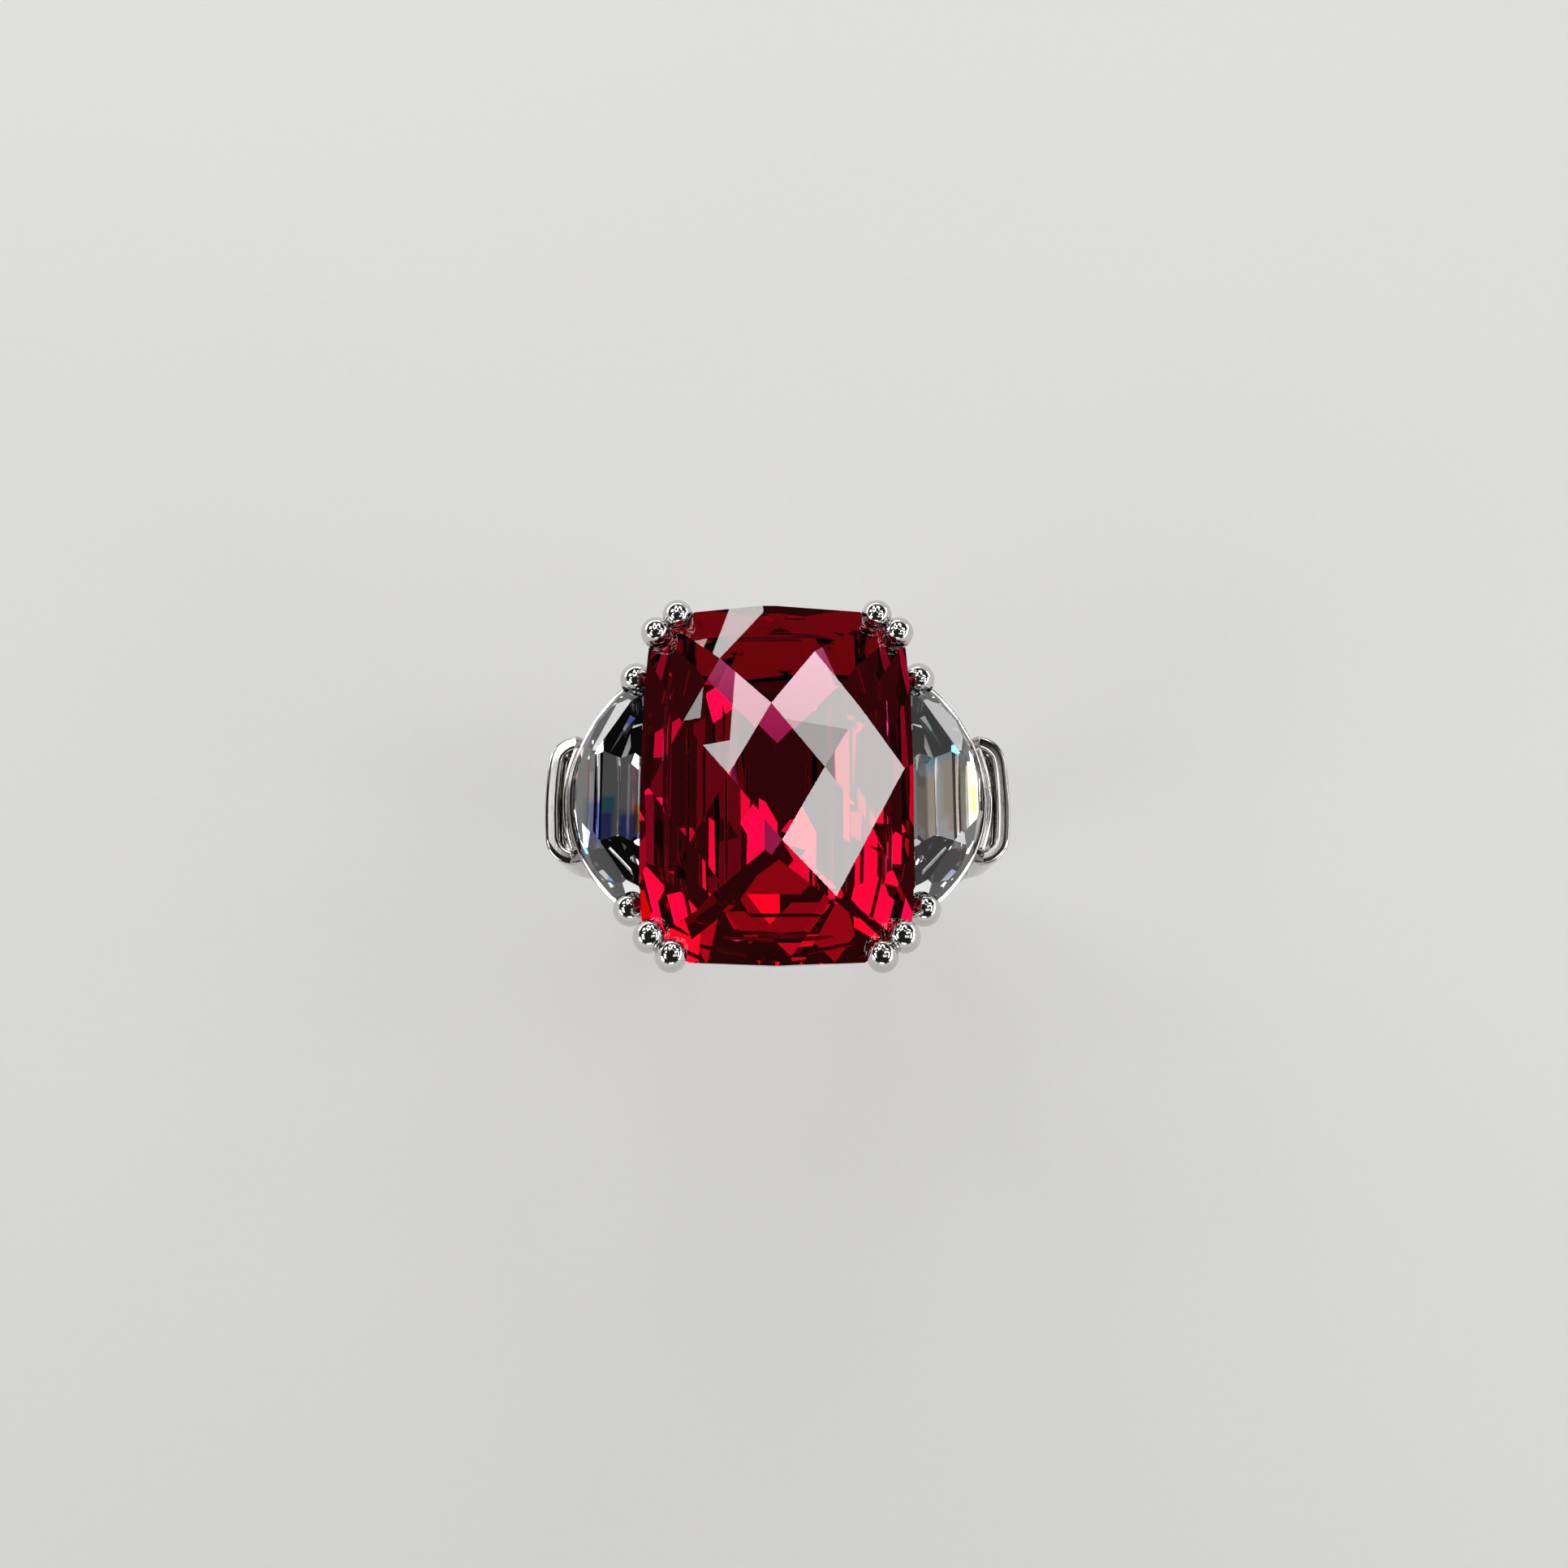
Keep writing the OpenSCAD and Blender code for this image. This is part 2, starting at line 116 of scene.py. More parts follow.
def closed_tube(name, rings, material, loop=False):
    """A mesh from rings of points, an array of stations x points x 3 in millimetres: neighbouring rings
    are joined by quads, and each end is closed by a fan to its mean point, or the last ring joins the
    first. Where the sum of the triangles' triple products, six times the volume, is negative, the faces
    point inwards and are turned over."""
    stations, around = rings.shape[:2]
    ids = np.arange(stations * around).reshape(stations, around)
    beside = np.roll(ids, -1, axis=1)
    low, high = (ids, np.roll(ids, -1, axis=0)) if loop else (ids[:-1], ids[1:])
    low_b, high_b = (beside, np.roll(beside, -1, axis=0)) if loop else (beside[:-1], beside[1:])
    quads = np.stack([low, low_b, high_b, high], axis=-1).reshape(-1, 4)
    points = rings.reshape(-1, 3)
    fans = np.empty((0, 3), int)
    if not loop:
        points = np.vstack([points, rings[0].mean(0), rings[-1].mean(0)])
        first, last = stations * around, stations * around + 1
        fans = np.vstack([np.stack([beside[0], ids[0], np.full(around, first)], axis=-1),
                          np.stack([ids[-1], beside[-1], np.full(around, last)], axis=-1)])
    mesh = bpy.data.meshes.new(name)
    mesh.from_pydata((points * MM).tolist(), [], quads.tolist() + fans.tolist())
    triangles = np.vstack([quads[:, :3], quads[:, [0, 2, 3]], fans])
    a, b, c = np.moveaxis(points[triangles], 1, 0)
    if np.einsum("ij,ij->", a, np.cross(b, c)) < 0:
        mesh.flip_normals()
    mesh.polygons.foreach_set("use_smooth", np.ones(len(mesh.polygons), bool))
    mesh.materials.append(material)
    piece = bpy.data.objects.new(name, mesh)
    bpy.context.scene.collection.objects.link(piece)
    return piece


def rounded_section(half_w, half_h, corner, steps=6, flat=2):
    """A rectangle's outline with round corners, anticlockwise: a quarter circle at each corner, then points
    spread evenly along the straight side that follows it, points x 2."""
    quarter = np.linspace(0, np.pi / 2, steps)
    turn = (quarter[None, :] + np.arange(4)[:, None] * np.pi / 2)
    centre_x = np.array([1, -1, -1, 1])[:, None] * (half_w - corner)
    centre_y = np.array([1, 1, -1, -1])[:, None] * (half_h - corner)
    arcs = np.stack([centre_x + corner * np.cos(turn), centre_y + corner * np.sin(turn)], axis=-1)
    share = np.linspace(0, 1, flat + 2)[None, 1:-1, None]
    sides = arcs[:, -1:] + share * (np.roll(arcs, -1, axis=0)[:, :1] - arcs[:, -1:])
    return np.concatenate([arcs, sides], axis=1).reshape(-1, 2)


bore_r, band_t, band_sink = 8.65, 1.65, 0.22
band_r_out = bore_r + band_t - band_sink
band_w_palm, band_w_top = 3.4, 5.2
band_crown_r = 7.0
basket_half_x, basket_r = 4.1, 9.6

# The band rubs against the next fingers, so that its polish is a little worn.
rhodium_band = rhodium_plate("rhodium_plate_band", "CFCDCB", 0.04, 0.14, 0.10, 0.002)


def court_band():
    """The section is a rounded rectangle whose outer side is bowed down by y squared over twice the
    crown's radius. It is carried round the finger's axis, from one side of the basket to the other.
    The outer circle's centre is sunk a little below the bore's, which makes the palm side thicker,
    and the width grows evenly with height, from the palm to just over the bore."""
    opening = math.asin(basket_half_x / basket_r)
    angle = np.linspace(opening, 2 * np.pi - opening, 220)
    up = np.cos(angle)
    palm_z, span_z, middle_r = -10.3, 21.45, 9.5
    width = band_w_palm + (band_w_top - band_w_palm) * (up * middle_r - palm_z) / span_z
    section = rounded_section(1.0, 1.0, 0.34, 9, 12)
    y = section[None, :, 0] * width[:, None] / 2
    skin = 0.004
    outer = np.sqrt(band_r_out ** 2 - (band_sink * np.sin(angle)) ** 2) - band_sink * up - skin
    outward = (section[None, :, 1] + 1) / 2
    r = bore_r + outward * (outer[:, None] - bore_r) - outward ** 2 * y ** 2 / (2 * band_crown_r)
    return np.stack([r * np.sin(angle)[:, None], y, r * up[:, None]], axis=-1)


band = closed_tube("finger_band", court_band(), rhodium_band)
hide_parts("shank")
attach(band, "root")


# ---- Galleries -------------------------------------------------------------------
# Two frames of drawn wire, bent to rounded rectangles and soldered shut. The lower one is
# also bent to the finger and carries the claws; the upper one carries the stone's pavilion.

# Drawn wire has no casting skin, and takes a brighter polish than the band.
rhodium_wire = rhodium_plate("rhodium_plate_wire", "D2D0CE", 0.03, 0.10, 0.07, 0.003)


def frame_path(half_x, half_y, corner, per_side=12, steps=14):
    """Points round a rounded rectangle, a quarter circle at each corner and even steps along each side,
    and the outward direction at each point."""
    middle = np.array([half_x - corner, half_y - corner])
    signs = np.array([(1, 1), (-1, 1), (-1, -1), (1, -1)])
    share = np.linspace(0, 1, per_side + 2)[1:-1, None]
    outline, outward = [], []
    for k in range(4):
        turn = np.linspace(0, np.pi / 2, steps) + k * np.pi / 2
        way = np.stack([np.cos(turn), np.sin(turn)], axis=-1)
        arc = signs[k] * middle + corner * way
        next_arc = signs[(k + 1) % 4] * middle + corner * way[-1]
        outline += [arc, arc[-1] + share * (next_arc - arc[-1])]
        outward += [way, np.repeat(way[-1:], per_side, 0)]
    return np.vstack(outline), np.vstack(outward)


def level_frame(half_x, half_y, corner, width, height, z):
    """A rounded bar section carried round the frame's outline at one height."""
    path, outward = frame_path(half_x - width / 2, half_y - width / 2, corner - width / 2)
    section = rounded_section(width / 2, height / 2, 0.18)
    rings = np.zeros((len(path), len(section), 3))
    rings[:, :, :2] = path[:, None] + outward[:, None] * section[None, :, :1]
    rings[:, :, 2] = z + section[None, :, 1]
    return rings


def saddle_frame(half_x, half_y, corner, width, r_in, r_out):
    """As the level frame, but each height is laid on a radius from the finger's axis."""
    path, outward = frame_path(half_x - width / 2, half_y - width / 2, corner - width / 2)
    section = rounded_section(width / 2, (r_out - r_in) / 2, 0.16)
    plan = path[:, None] + outward[:, None] * section[None, :, :1]
    radius = (r_in + r_out) / 2 + section[None, :, 1]
    return np.stack([plan[..., 0], plan[..., 1], np.sqrt(radius ** 2 - plan[..., 0] ** 2)], axis=-1)


base_rings = saddle_frame(half_x=basket_half_x, half_y=5.9, corner=1.7, width=0.9, r_in=8.95, r_out=9.85)
upper_rings = level_frame(half_x=5.0, half_y=7.05, corner=2.2, width=0.8, height=0.8, z=12.5)
base = closed_tube("base_gallery_wire", base_rings, rhodium_wire, loop=True)
upper = closed_tube("upper_gallery_wire", upper_rings, rhodium_wire, loop=True)
for piece, cad in ((base, "base_gallery"), (upper, "upper_gallery")):
    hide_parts(cad)
    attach(piece, "root")


# ---- Centre stone ----------------------------------------------------------------
# A long red corundum with a domed checkerboard crown and a keeled pavilion. It sits on the
# upper gallery, and its polished facets keep the form that the source gives them.

def faceted_gem(name, face_colour, veil_colour, ior, depth=None, painted_fire=()):
    """A transparent crystal polished on a copper lap. The eye sees sharp mirror facets over a clear body;
    depth is its absorption colour and density per metre. A faint veil of 4 mm growth bands tints it, and
    1.2 mm smears soften its polish a little. Each patch of painted fire, (x, y, half width, half length,
    colour) in mm, is a soft-edged box in plan where a flash of dispersed light is painted into the colour."""
    material = bpy.data.materials.new(name)
    material.use_nodes = True
    tree = material.node_tree
    shader = tree.nodes["Principled BSDF"]
    place = add_node(tree, "ShaderNodeTexCoord").outputs["Object"]
    bands = add_node(tree, "ShaderNodeTexNoise", inputs={
        "Vector": place, "Scale": 1 / (4.0 * MM), "Detail": 2.0})
    veil = add_node(tree, "ShaderNodeMix", {"data_type": "RGBA"}, {
        "Factor": bands.outputs["Fac"]})
    veil.inputs["A"].default_value = linear(face_colour)
    veil.inputs["B"].default_value = linear(veil_colour)
    smears = add_node(tree, "ShaderNodeTexNoise", inputs={
        "Vector": place, "Scale": 1 / (1.2 * MM), "Detail": 5.0, "Roughness": 0.65})
    rough = add_node(tree, "ShaderNodeMapRange", inputs={
        "Value": smears.outputs["Fac"], "From Min": 0.55, "From Max": 0.8, "To Min": 0.0, "To Max": 0.03})
    body = veil.outputs["Result"]
    # Painted fire: each patch paints a flash of dispersed light into the stone's base colour.
    for x, y, half_x, half_y, colour in painted_fire:
        offset = add_node(tree, "ShaderNodeMapping", {"vector_type": "TEXTURE"}, {
            "Vector": place, "Location": (x * MM, y * MM, 0.0), "Scale": (half_x * MM, half_y * MM, 1.0)})
        away = add_node(tree, "ShaderNodeVectorMath", {"operation": "ABSOLUTE"})
        tree.links.new(offset.outputs["Vector"], away.inputs[0])
        axes = add_node(tree, "ShaderNodeSeparateXYZ", inputs={"Vector": away.outputs["Vector"]})
        edge = add_node(tree, "ShaderNodeMath", {"operation": "MAXIMUM"})
        tree.links.new(axes.outputs["X"], edge.inputs[0])
        tree.links.new(axes.outputs["Y"], edge.inputs[1])
        inside = add_node(tree, "ShaderNodeMapRange", inputs={
            "Value": edge.outputs["Value"], "From Min": 0.7, "From Max": 1.1, "To Min": 1.0, "To Max": 0.0})
        painted_fire_patch = add_node(tree, "ShaderNodeMix", {"data_type": "RGBA"})
        tree.links.new(inside.outputs["Result"], painted_fire_patch.inputs["Factor"])
        tree.links.new(body, painted_fire_patch.inputs["A"])
        painted_fire_patch.inputs["B"].default_value = linear(colour)
        body = painted_fire_patch.outputs["Result"]
    tree.links.new(body, shader.inputs["Base Color"])
    tree.links.new(rough.outputs["Result"], shader.inputs["Roughness"])
    shader.inputs["IOR"].default_value = ior
    shader.inputs["Transmission Weight"].default_value = 1.0
    if depth:
        volume = add_node(tree, "ShaderNodeVolumeAbsorption", inputs={
            "Color": depth[0], "Density": depth[1]})
        tree.links.new(volume.outputs["Volume"], tree.nodes["Material Output"].inputs["Volume"])
    return material


def finish_node(name, material):
    """Gives a CAD node that keeps its own shape the material, in every slot."""
    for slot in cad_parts[name].material_slots:
        slot.material = material


# Green goes first and then blue, so that short ways through glow pink and long ones are deep crimson.
ruby = faceted_gem("corundum_red_faceted", "FFFFFF", "FFF0F2", 1.77, (linear("F13FBF"), 620.0))
finish_node("center_stone", ruby)


# ---- Centre claws ----------------------------------------------------------------
# Round wire, two to a corner. Each runs up from the base gallery, leans out past the girdle,
# and is pushed over the stone and burnished to a bead.

# The cup tool that forms the beads leaves the brightest and smoothest metal on the ring.
rhodium_bead = rhodium_plate("rhodium_plate_bead", "D4D2D0", 0.02, 0.07, 0.06, 0.003)
gem_z = 14.6
bead_z = gem_z + 0.45


def smooth_step(x, low, high):
    """0 below low, 1 above high, and a cubic with level ends between them."""
    t = np.clip((np.asarray(x, float) - low) / (high - low), 0, 1)
    return t * t * (3 - 2 * t)


def claw(foot, bead, reach, wire_r, bead_r):
    """A round section carried up a straight line from foot to bead, then round a quadratic curve that
    leans back over the stone. Its radius swells from the wire's to the bead's by a cubic, and falls
    to nothing at both ends as the root of one minus the square, which rounds the tip and the foot."""
    bend_below, bend_above, tip_drop, foot_round = 0.75, 0.18, 0.06, 0.4
    foot, bead = np.array(foot, float), np.array(bead, float)
    lean = np.array([bead[0] - foot[0], bead[1] - foot[1], 0.0])
    lean /= np.linalg.norm(lean)
    rise = (bead - foot) / np.linalg.norm(bead - foot)
    side = np.cross(rise, lean)
    side /= np.linalg.norm(side)
    bend = bead - bend_below * rise
    over = bead + bend_above * rise - 0.02 * lean
    tip = bead - (reach + bead_r * 0.72) * lean - np.array([0, 0, tip_drop])
    t = np.linspace(0, 1, 60)[:, None]
    curve = (1 - t) ** 2 * bend + 2 * t * (1 - t) * over + t ** 2 * tip
    stem = foot + np.linspace(0, 1, 12)[:-1, None] * (bend - foot)
    path = np.vstack([stem, curve])
    step = np.concatenate([[0], np.linalg.norm(np.diff(path, axis=0), axis=1).cumsum()])
    total = step[-1]
    even = np.concatenate([foot_round * (1 - np.cos(np.linspace(0, np.pi / 2, 8)[:-1])),
                           np.linspace(foot_round, total - 2.2 * bead_r, 26)[:-1],
                           total - 2.2 * bead_r * np.cos(np.linspace(0, np.pi / 2, 30))])
    path = np.stack([np.interp(even, step, path[:, k]) for k in range(3)], axis=-1)
    along = np.gradient(path, even, axis=0)
    along /= np.linalg.norm(along, axis=1)[:, None]
    out = np.cross(side[None], along)
    swell = wire_r + (bead_r - wire_r) * smooth_step(even, total - 2.6 * bead_r, total - 1.35 * bead_r)
    near_end = np.clip((even - (total - bead_r)) / bead_r, 0, 1)
    near_foot = np.clip(1 - even / foot_round, 0, 1)
    radius = swell * np.sqrt(np.clip(1 - near_end ** 2, 1e-5, 1) * np.clip(1 - near_foot ** 2, 1e-3, 1))
    turn = np.linspace(0, 2 * np.pi, 40, endpoint=False)
    ring = np.cos(turn)[None, :, None] * out[:, None] + np.sin(turn)[None, :, None] * side[None, None]
    return path[:, None] + radius[:, None, None] * ring


for end, y_sign, reach in (("back", 1, 0.3), ("front", -1, 0.42)):
    for hand, x_sign in (("left", -1), ("right", 1)):
        flip = np.array([x_sign, y_sign, 1])
        for part, foot, bead in (("side", (4.0, 5.1, 8.8), (5.6, 7.02, bead_z)),
                                 ("end", (3.3, 5.8, 8.95), (4.62, 7.86, bead_z))):
            wire = claw(foot, bead, reach, wire_r=0.5, bead_r=0.69)
            piece = closed_tube(f"corner_claw_{end}_{hand}_{part}", wire * flip, rhodium_bead)
            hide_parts(f"claw_{end}_{hand}_{part}")
            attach(piece, "root")


# ---- Side stones -----------------------------------------------------------------
# Clear half-moons with a table, three broad crown facets and a step-cut pavilion. Their
# straight sides run in under the centre stone, and they keep the source's facets.

# Colourless and very bright, with painted fire: flashes of dispersed light painted into its colour, blue,
# teal and orange on the left and teal and gold on the right.
white_stone = faceted_gem("zirconia_clear_faceted", "FFFFFF", "F4F7FB", 2.15, painted_fire=(
    (-8.1, -1.5, 0.8, 1.2, "3A48FF"), (-7.7, -0.7, 0.35, 0.4, "30D0E8"), (-6.3, -1.4, 0.17, 0.8, "FFA018"),
    (-8.0, 3.35, 0.3, 0.3, "38E0B8"), (-7.4, -4.0, 0.25, 0.3, "60A0FF"), (7.7, 2.2, 0.8, 1.1, "58B8D8"),
    (8.25, 0.1, 0.9, 1.5, "D8B888"), (9.05, -0.3, 0.12, 0.8, "FFE040"), (7.75, 3.35, 0.3, 0.4, "A0A8FF"),
    (8.1, -1.5, 0.4, 0.45, "F0B8A8")))
finish_node("side_stone_left", white_stone)
finish_node("side_stone_right", white_stone)


# ---- Side rails and wires ----------------------------------------------------------
# A flat strip bent round each half-moon's curve, level with its girdle, and a thinner wire
# below it. Both end against the centre basket and are soldered to the side claws.

moon_at = np.array([5.2, 0, 12.5])
moon_tilt = math.radians(12)
moon_r, moon_reach = 6.35, 4.45
moon_centre = moon_reach - moon_r


def tilted(points):
    """Points in a half-moon's own frame, turned down outwards by its tilt and moved to its place."""
    x = points[..., 0] * math.cos(moon_tilt) + points[..., 2] * math.sin(moon_tilt)
    z = -points[..., 0] * math.sin(moon_tilt) + points[..., 2] * math.cos(moon_tilt)
    return moon_at + np.stack([x, points[..., 1], z], axis=-1)


def bent_strip(r_out, width, z_top, height, y_end, corner):
    """A rounded strip section carried along the half-moon's arc, from one end's y to the other's."""
    middle = r_out - width / 2
    stop = math.asin(y_end / middle)
    angle = np.linspace(-stop, stop, 90)
    section = rounded_section(width / 2, height / 2, corner)
    r = middle + section[None, :, 0] + 0 * angle[:, None]
    return tilted(np.stack([moon_centre + r * np.cos(angle)[:, None], r * np.sin(angle)[:, None],
                            np.broadcast_to(z_top - height / 2 + section[None, :, 1], r.shape)], axis=-1))


strip = bent_strip(r_out=moon_r + 0.18, width=0.62, z_top=0.05, height=0.95, y_end=5.6, corner=0.1)
under = bent_strip(r_out=5.2, width=0.6, z_top=-2.0, height=0.6, y_end=4.5, corner=0.26)
for hand, sign in (("left", -1), ("right", 1)):
    flip = np.array([sign, 1, 1])
    rail = closed_tube(f"side_rail_strip_{hand}", strip * flip, rhodium_wire)
    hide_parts(f"side_rail_{hand}")
    wire = closed_tube(f"side_under_wire_{hand}", under * flip, rhodium_wire)
    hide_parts(f"side_wire_{hand}")
    for piece in (rail, wire):
        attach(piece, "root")


# ---- Side claws --------------------------------------------------------------------
# One heavier claw over each point of each half-moon, from the band up past the rail, with a
# broad burnished bead partly under the centre stone.

point_bead = tilted(np.array([1.35, 5.62, 0.5]))
point_claw = claw((5.9, 2.35, 7.7), point_bead, reach=0.3, wire_r=0.5, bead_r=0.79)
for end, y_sign in (("back", 1), ("front", -1)):
    for hand, x_sign in (("left", -1), ("right", 1)):
        flip = np.array([x_sign, y_sign, 1])
        piece = closed_tube(f"point_claw_{end}_{hand}", point_claw * flip, rhodium_bead)
        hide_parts(f"side_claw_{end}_{hand}")
        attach(piece, "root")


# ---- Shoulders ---------------------------------------------------------------------
# Cast plates that rise from the band on each side. The top is a shallow tray with a broad
# raised rim, open towards the side stone, where a narrow bar closes it.

# The tray can't be reached by the wheel, and keeps some of the casting's greyer skin.
rhodium_cast = rhodium_plate("rhodium_plate_casting", "CAC8C5", 0.04, 0.15, 0.09, 0.0015)
shoulder_x, shoulder_top, shoulder_foot = 10.95, 10.95, -2.2
rim_w, rim_round, tray_depth, tray_round = 0.65, 0.14, 0.75, 0.1
step_w, step_h, step_z, step_half_l = 0.36, 0.95, 10.2, 2.42
rail_arc_r = 6.55
rail_arc_x = moon_at[0] + moon_centre * math.cos(moon_tilt)


def shoulder_outline(z, inset):
    """Plan outline at one height, in from the edge by inset: a rounded rectangle between the inner and
    outer faces. The outer face leans out by a quadratic curve from inside the band to the shoulder's
    full reach, and is bowed by y squared, more so low down where it runs into the band. The inner face
    follows a line of its own, or the band, and near the top it is hollowed by the side rail's arc."""
    lean_rise, foot_sunk, thinnest, corner_r = 10.2, 0.34, 0.12, 1.15
    bow_low, bow_more = 15, 23
    t = np.clip((z - shoulder_foot) / lean_rise, 0, 1)
    foot_x = band_r_out - foot_sunk
    x_out = foot_x + (shoulder_x - foot_x) * t * (2 - t) - inset
    half = np.interp(z, [shoulder_foot, 0.5, 7.0], [1.75, 2.35, 3.1]) - inset
    inner_line = np.interp(z, [shoulder_foot, 2.0, 5.0, 8.2, shoulder_top],
                           [8.6, 9.55, 9.65, 9.3, 9.2])
    round_band = math.sqrt(max(band_r_out ** 2 - (z + band_sink) ** 2, 0)) - 0.05
    x_flat = min(max(inner_line, round_band), x_out - thinnest)
    arc_share = float(smooth_step(z, 7.8, 8.8))
    corner_out = max(min(corner_r * min(2 * t, 1), (x_out - x_flat) * 0.9) - inset * 0.6, 0.05)
    turn = np.linspace(0, np.pi / 2, 14)
    side = np.linspace(-1, 1, 50)[1:-1]
    straight = half - corner_out
    y = np.concatenate([-half + corner_out * (1 - np.cos(turn)), side * straight,
                        half - corner_out * (1 - np.sin(turn)), side[::-1] * half])
    x = np.concatenate([x_out - corner_out * (1 - np.sin(turn)), np.full(len(side), x_out),
                        x_out - corner_out * (1 - np.cos(turn)), np.full(len(side), -1.0)])
    x = np.where(x > 0, x - y ** 2 / (bow_low + bow_more * min(2 * t, 1)), x)
    arc = rail_arc_x + math.cos(moon_tilt) * np.sqrt(rail_arc_r ** 2 - np.clip(y, -6, 6) ** 2)
    inner = x_flat + arc_share * np.maximum(arc - x_flat, 0) + (step_w if inset else 0)
    x = np.where(x < 0, np.minimum(inner, x_out - 0.1), np.maximum(x, inner))
    return np.stack([x, y, np.full(len(y), z)], axis=-1)


def shoulder_rings():
    """The outline at each height up the outer wall, over the rounded rim, down into the tray and in
    to its middle: quarter circles round the rim's outer edge, its inner edge and the tray's foot."""
    turn = np.linspace(0, np.pi / 2, 6)[1:]
    sink, grow = 1 - np.cos(turn), np.sin(turn)
    edge_in, floor_z = rim_w - tray_round, shoulder_top - tray_depth
    places = [(z, 0) for z in np.linspace(shoulder_foot, shoulder_top - rim_round, 40)]
    places += list(zip(shoulder_top - rim_round + rim_round * grow, rim_round * sink + 1e-4))
    places += [(shoulder_top, inset) for inset in (0.3, 0.45, edge_in)]
    places += list(zip(shoulder_top - tray_round * sink, edge_in + tray_round * grow))
    places += [(shoulder_top - down, rim_w) for down in (0.3, 0.5, tray_depth - tray_round)]
    places += list(zip(floor_z + tray_round * (1 - grow), rim_w + tray_round * sink))
    return np.array([shoulder_outline(z, inset) for z, inset in places])


def step_bar():
    """A bar with a round top carried along the rail's arc, in front of the side stone."""
    stop = math.asin(step_half_l / 6.7)
    angle = np.linspace(-stop, stop, 60)
    section = rounded_section(step_w / 2, step_h / 2, 0.16)
    r = rail_arc_r + step_w / 2 + section[None, :, 0] + 0 * angle[:, None]
    return np.stack([rail_arc_x + r * np.cos(angle)[:, None] * math.cos(moon_tilt),
                     r * np.sin(angle)[:, None],
                     np.broadcast_to(step_z + step_h / 2 + section[None, :, 1], r.shape)], axis=-1)


for hand, sign in (("left", -1), ("right", 1)):
    flip = np.array([sign, 1, 1])
    plate = closed_tube(f"shoulder_plate_{hand}", shoulder_rings() * flip, rhodium_cast)
    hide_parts(f"shoulder_{hand}")
    bar = closed_tube(f"shoulder_bar_{hand}", step_bar() * flip, rhodium_wire)
    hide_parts(f"shoulder_step_{hand}")
    for piece in (plate, bar):
        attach(piece, "root")


# ---- Floor -------------------------------------------------------------------------
# Not part of the ring: a sheet of pale matt paper that it stands on. Seen directly, mirrored or
# through a stone, it is partly a plain pale grey, and wholly so far off, where it meets the backdrop.

backdrop_level = 0.74
bpy.ops.mesh.primitive_plane_add(size=6.0, location=(0, 0, cad_box[0][2]))
floor = bpy.context.object
floor.name = "floor"

# Uncoated paper: an even, pale and slightly warm grey, with 0.6 mm clumps of fibre that barely show.
paper = bpy.data.materials.new("studio_paper_matt")
paper.use_nodes = True
sheet = paper.node_tree
paper_shader = sheet.nodes["Principled BSDF"]
on_sheet = add_node(sheet, "ShaderNodeTexCoord").outputs["Object"]
fibres = add_node(sheet, "ShaderNodeTexNoise", inputs={
    "Vector": on_sheet, "Scale": 1 / (0.6 * MM), "Detail": 4.0})
paper_colour = add_node(sheet, "ShaderNodeMix", {"data_type": "RGBA"})
sheet.links.new(fibres.outputs["Fac"], paper_colour.inputs["Factor"])
paper_colour.inputs["A"].default_value = linear("EAE9E7")
paper_colour.inputs["B"].default_value = linear("EFEEEC")
sheet.links.new(paper_colour.outputs["Result"], paper_shader.inputs["Base Color"])
paper_shader.inputs["Roughness"].default_value = 0.8
ray = add_node(sheet, "ShaderNodeLightPath")
seen = add_node(sheet, "ShaderNodeMath", {"operation": "MAXIMUM"})
sheet.links.new(ray.outputs["Is Camera Ray"], seen.inputs[0])
sheet.links.new(ray.outputs["Is Glossy Ray"], seen.inputs[1])
seen_any = add_node(sheet, "ShaderNodeMath", {"operation": "MAXIMUM"})
sheet.links.new(seen.outputs["Value"], seen_any.inputs[0])
sheet.links.new(ray.outputs["Is Transmission Ray"], seen_any.inputs[1])
away = add_node(sheet, "ShaderNodeVectorMath", {"operation": "LENGTH"})
sheet.links.new(on_sheet, away.inputs[0])
share = add_node(sheet, "ShaderNodeMapRange", {"interpolation_type": "SMOOTHSTEP"}, {
    "Value": away.outputs["Value"], "From Min": 40 * MM, "From Max": 210 * MM,
    "To Min": 0.4, "To Max": 1.0})
plain = add_node(sheet, "ShaderNodeMath", {"operation": "MULTIPLY"})
sheet.links.new(seen_any.outputs["Value"], plain.inputs[0])
sheet.links.new(share.outputs["Result"], plain.inputs[1])
grey = add_node(sheet, "ShaderNodeEmission", inputs={
    "Color": linear("FFFFFF"), "Strength": backdrop_level})
mixed = add_node(sheet, "ShaderNodeMixShader")
sheet.links.new(plain.outputs["Value"], mixed.inputs[0])
sheet.links.new(paper_shader.outputs["BSDF"], mixed.inputs[1])
sheet.links.new(grey.outputs["Emission"], mixed.inputs[2])
sheet.links.new(mixed.outputs["Shader"], sheet.nodes["Material Output"].inputs["Surface"])
floor.data.materials.append(paper)


# ---- Light and camera ----------------------------------------------------------------
# Soft boxes hang level over the ring, where the crown's bright lozenges and the rim's mirror them.
# Spots reach the facets that flash, cards fill, broad boxes light the paper, and a ring of wall
# lamps lights the ring from the side. It is dark overhead, which keeps the red stone deep.

ceiling_z, wall_reach = 120, 230
wall_size = (110, 45)


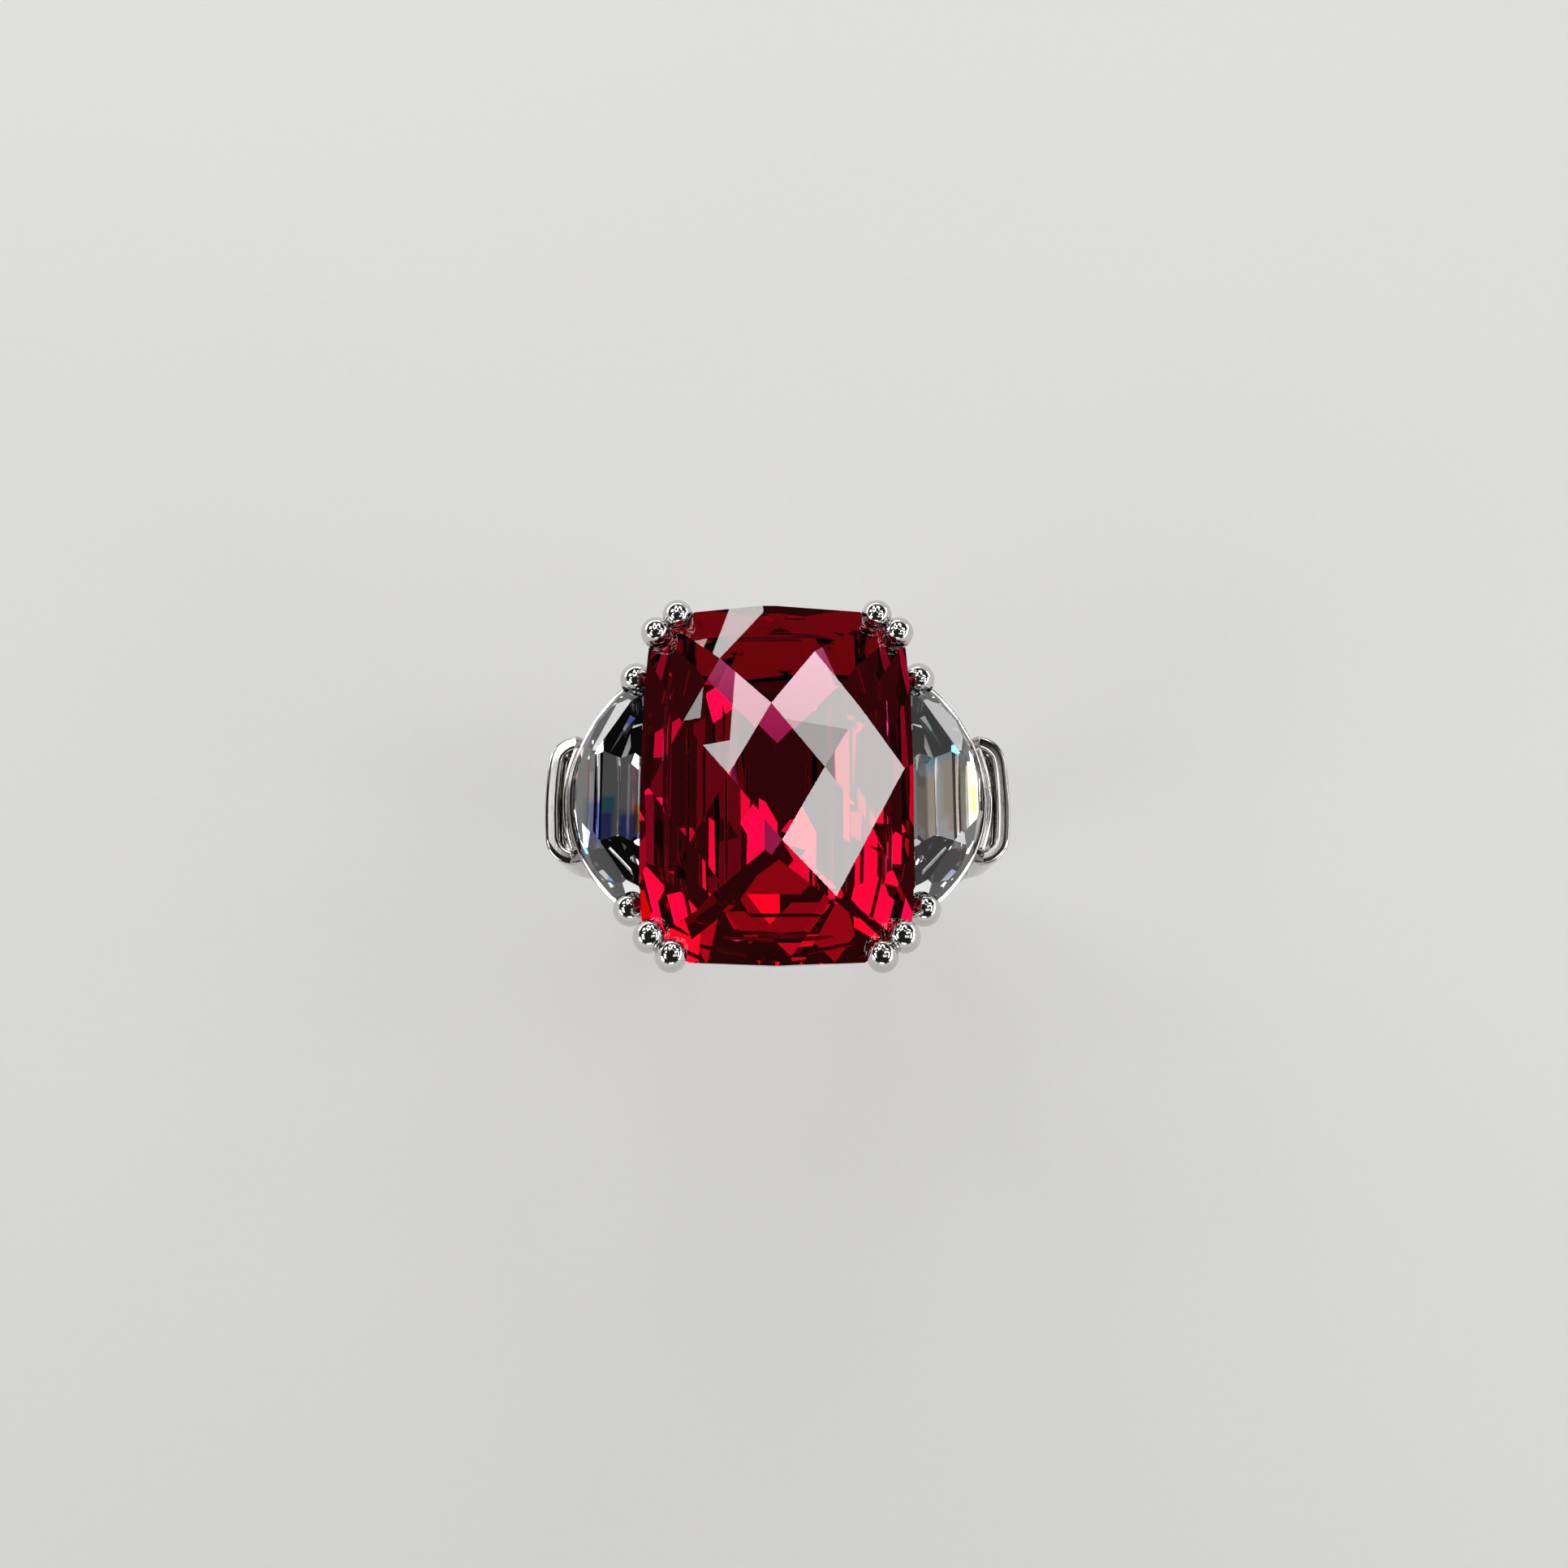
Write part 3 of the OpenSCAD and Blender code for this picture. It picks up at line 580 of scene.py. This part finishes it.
def soft_box(name, place, size, level, aim=None):
    """A rectangular lamp at place (mm), level being its brightness where paper is 1. It hangs level and
    shines down, or it faces the point aim."""
    lamp = bpy.data.lights.new(name, "AREA")
    lamp.shape = "RECTANGLE"
    lamp.size, lamp.size_y = size[0] * MM, size[1] * MM
    lamp.energy = level * math.pi * lamp.size * lamp.size_y
    holder = bpy.data.objects.new(name, lamp)
    bpy.context.scene.collection.objects.link(holder)
    holder.location = Vector(place) * MM
    if aim:
        holder.rotation_euler = (Vector(aim) - Vector(place)).to_track_quat("-Z", "Y").to_euler()


for name, x, y, size_x, size_y, level in (
        # mirrored by the three bright lozenges on the right, the one on the left, and one at the rim
        ("right_back_box", 51.5, 84, 18, 16, 6.5), ("right_back_sill", 51.5, 71, 18, 10, 4.6),
        ("right_front_box", 53.5, -7.5, 17, 21, 6.5), ("right_far_box", 125, 49, 24, 26, 6.5),
        ("right_far_edge", 111, 47, 4, 26, 3.0), ("left_back_box", -54, 70, 8, 25, 6.0),
        ("left_back_sill", -63.5, 61, 11, 8, 5.5), ("left_back_strip", -65, 74.5, 3, 9, 3.5),
        ("rim_box", -73, 268, 13, 46, 5.5), ("rim_strip", -86, 256, 6, 16, 3.5),
        # sent back by the red stone's pavilion, as hot flashes low down and at its sides
        ("left_spot", -30, 41, 30, 22, 3.2), ("back_spot", -8, 92, 22, 36, 4.0),
        ("low_spot", -8, 53, 15, 16, 4.5),
        # faint cards that fill the claws' beads and the rim
        ("low_card", 0, 40, 30, 10, 1.0), ("left_rim_card", -38, 22, 16, 14, 1.2),
        ("right_rim_card", 22, 22, 15, 14, 1.8), ("right_card", 65, 27, 44, 36, 0.3),
        ("front_card", 56, -55, 70, 34, 1.2),
        # sent back by the half-moons' points
        ("left_back_spot", -96, 53, 22, 16, 5.5), ("left_front_spot", -90, 4, 30, 16, 6.5),
        ("right_back_spot", 86, 53, 22, 16, 5.0), ("right_front_spot", 88, 4, 30, 16, 7.5),
        # the light on the paper, clear of what the lozenges mirror
        ("broad_back_left", -47.5, 152.5, 45, 95, 2.8), ("broad_back_right", 43.5, 154, 63, 92, 2.8),
        ("broad_left", -127.5, 75, 65, 58, 2.8), ("broad_front_left", -127.5, -67.5, 65, 95, 2.8),
        ("broad_front_right", 150, -42, 54, 115, 2.8)):
    soft_box(name, (x, y, ceiling_z), (size_x, size_y), level)

for name, bearing, z, level in (
        ("wall_right_back", 30, 30, 2.5), ("wall_back", 90, 30, 1.5), ("wall_back_left", 120, 30, 2.0),
        ("wall_left_back", 150, 30, 3.5), ("wall_left_front", 210, 75, 5.5),
        ("wall_right_front", 330, 75, 5.5), ("wall_right", 0, 75, 3.5), ("wall_front", 270, 85, 2.0)):
    turn = math.radians(bearing)
    place = (wall_reach * math.cos(turn), wall_reach * math.sin(turn), z)
    soft_box(name, place, wall_size, level, aim=(0, 0, z))

# The air is pale up to the horizon and dark above it. A ray through a stone finds it a little less
# dark, and the camera sees the same plain grey as far off on the paper.
world = bpy.data.worlds.new("studio_air")
bpy.context.scene.world = world
world.use_nodes = True
sky = world.node_tree
upward = add_node(sky, "ShaderNodeSeparateXYZ", inputs={
    "Vector": add_node(sky, "ShaderNodeTexCoord").outputs["Generated"]})
height = add_node(sky, "ShaderNodeMapRange", inputs={
    "Value": upward.outputs["Z"], "From Min": 0.10, "From Max": 0.30, "To Min": 0.8, "To Max": 0.02})
ray = add_node(sky, "ShaderNodeLightPath")
through = add_node(sky, "ShaderNodeMath", {"operation": "MULTIPLY"})
sky.links.new(ray.outputs["Is Transmission Ray"], through.inputs[0])
through.inputs[1].default_value = 0.09
least = add_node(sky, "ShaderNodeMath", {"operation": "MAXIMUM"})
sky.links.new(height.outputs["Result"], least.inputs[0])
sky.links.new(through.outputs["Value"], least.inputs[1])
seen = add_node(sky, "ShaderNodeMix", {"data_type": "FLOAT"})
sky.links.new(ray.outputs["Is Camera Ray"], seen.inputs["Factor"])
sky.links.new(least.outputs["Value"], seen.inputs["A"])
seen.inputs["B"].default_value = backdrop_level
sky.links.new(seen.outputs["Result"], sky.nodes["Background"].inputs["Strength"])
sky.nodes["Background"].inputs["Color"].default_value = linear("FFFFFF")

# The camera looks down from just in front of straight above. Its angle, distance (mm) and lens are
# fitted to where the claws and the stones' corners stand in a frame of 1932 pixels.
frame_px, lens_px = 1932, 1500
tilt = math.radians(13.1)
stand_off = 53.7
aim = Vector((0.31, -0.11, gem_z))
lens = bpy.data.cameras.new("camera")
lens.sensor_width = 36.0
lens.lens = lens.sensor_width * lens_px / frame_px
lens.clip_start = 0.001
lens.clip_end = 10.0
camera = bpy.data.objects.new("camera", lens)
bpy.context.scene.collection.objects.link(camera)
camera.location = (aim + stand_off * Vector((0, -math.sin(tilt), math.cos(tilt)))) * MM
camera.rotation_euler = (tilt, 0, 0)
bpy.context.scene.camera = camera
bpy.context.scene.view_settings.view_transform = "Standard"
